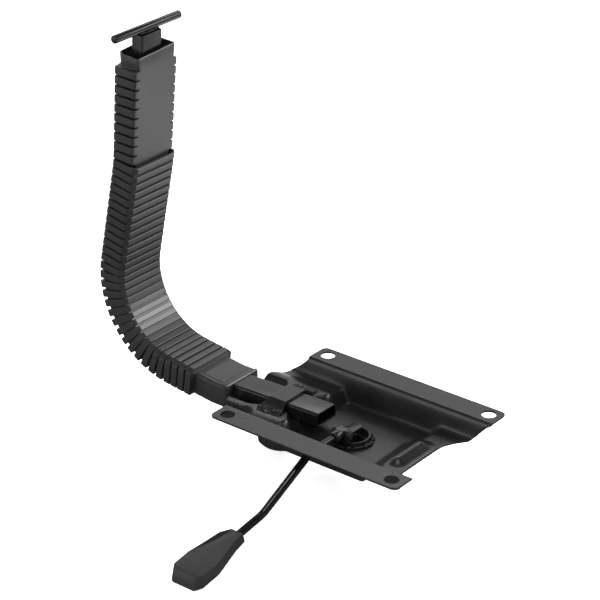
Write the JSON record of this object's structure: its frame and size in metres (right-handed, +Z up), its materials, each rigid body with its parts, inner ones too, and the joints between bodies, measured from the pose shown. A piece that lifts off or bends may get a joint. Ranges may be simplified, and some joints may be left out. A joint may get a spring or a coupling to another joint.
{
  "type": "office chair seat mechanism",
  "caption": "Pressed steel seat plate with gas lift socket and height lever, clamping a sliding L-shaped back bar in a ribbed plastic cover.",
  "frame": {"origin": "centre of the four seat bolt holes, on the top of the flanges", "axes": "+Z up to the seat, the chair faces -Y, +X is the sitter's left; the height lever leaves to -X"},
  "size_m": [0.3486, 0.4258, 0.4192],
  "materials": {
    "black_paint": "satin black powder coat on pressed steel",
    "bar_paint": "semi-gloss black coat on drawn tube and rod",
    "lever_paint": "gloss black coat on bright rod",
    "weld": "lumpy weld under the black coat",
    "black_zinc": "black zinc plate",
    "cover_plastic": "satin black moulded cover",
    "grip_plastic": "fine grained black moulding"
  },
  "bodies": {
    "plate": {"seat_plate": "black_paint", "saddle_strap": "black_paint", "strap_weld_near": "weld", "strap_weld_far": "weld", "gas_lift_socket": "black_paint", "socket_weld_bead": "weld", "weld_nut": "black_paint", "lever_pivot_pin": "black_zinc", "pivot_clip": "black_zinc"},
    "bar": {"back_bar": "bar_paint", "bellows_cover": "cover_plastic", "cross_rod": "bar_paint", "cross_rod_weld_front": "weld", "cross_rod_weld_rear": "weld"},
    "lever": {"lever_rod": "lever_paint", "lever_sleeve": "lever_paint", "release_tongue": "lever_paint", "lever_handle": "grip_plastic"},
    "pad": {"clamp_pad": "black_zinc"},
    "knob": {"clamp_knob": "grip_plastic", "clamp_stud": "black_zinc"}
  },
  "joints": [
    {"name": "bar_slide", "type": "slide", "parent": "plate", "child": "bar", "axis": [0, 0.9997, -0.0262], "range_m": [-0.004, 0.035]},
    {"name": "lever_lift", "type": "hinge", "parent": "plate", "child": "lever", "pos_m": [-0.016, 0.0075, -0.016], "axis": [0, 1, 0], "range_deg": [0, 7]},
    {"name": "clamp_travel", "type": "slide", "parent": "plate", "child": "pad", "axis": [0, 0.0262, 0.9997], "range_m": [-0.0031, 0]},
    {"name": "knob_turn", "type": "hinge", "parent": "pad", "child": "knob", "pos_m": [0, 0.09448, -0.01674], "axis": [0, 0.0262, 0.9997], "range_deg": [-720, 0]}
  ],
  "couplings": [
    {"joint": "clamp_travel", "follows": "knob_turn", "m_per_rad": 0.00023873}
  ]
}
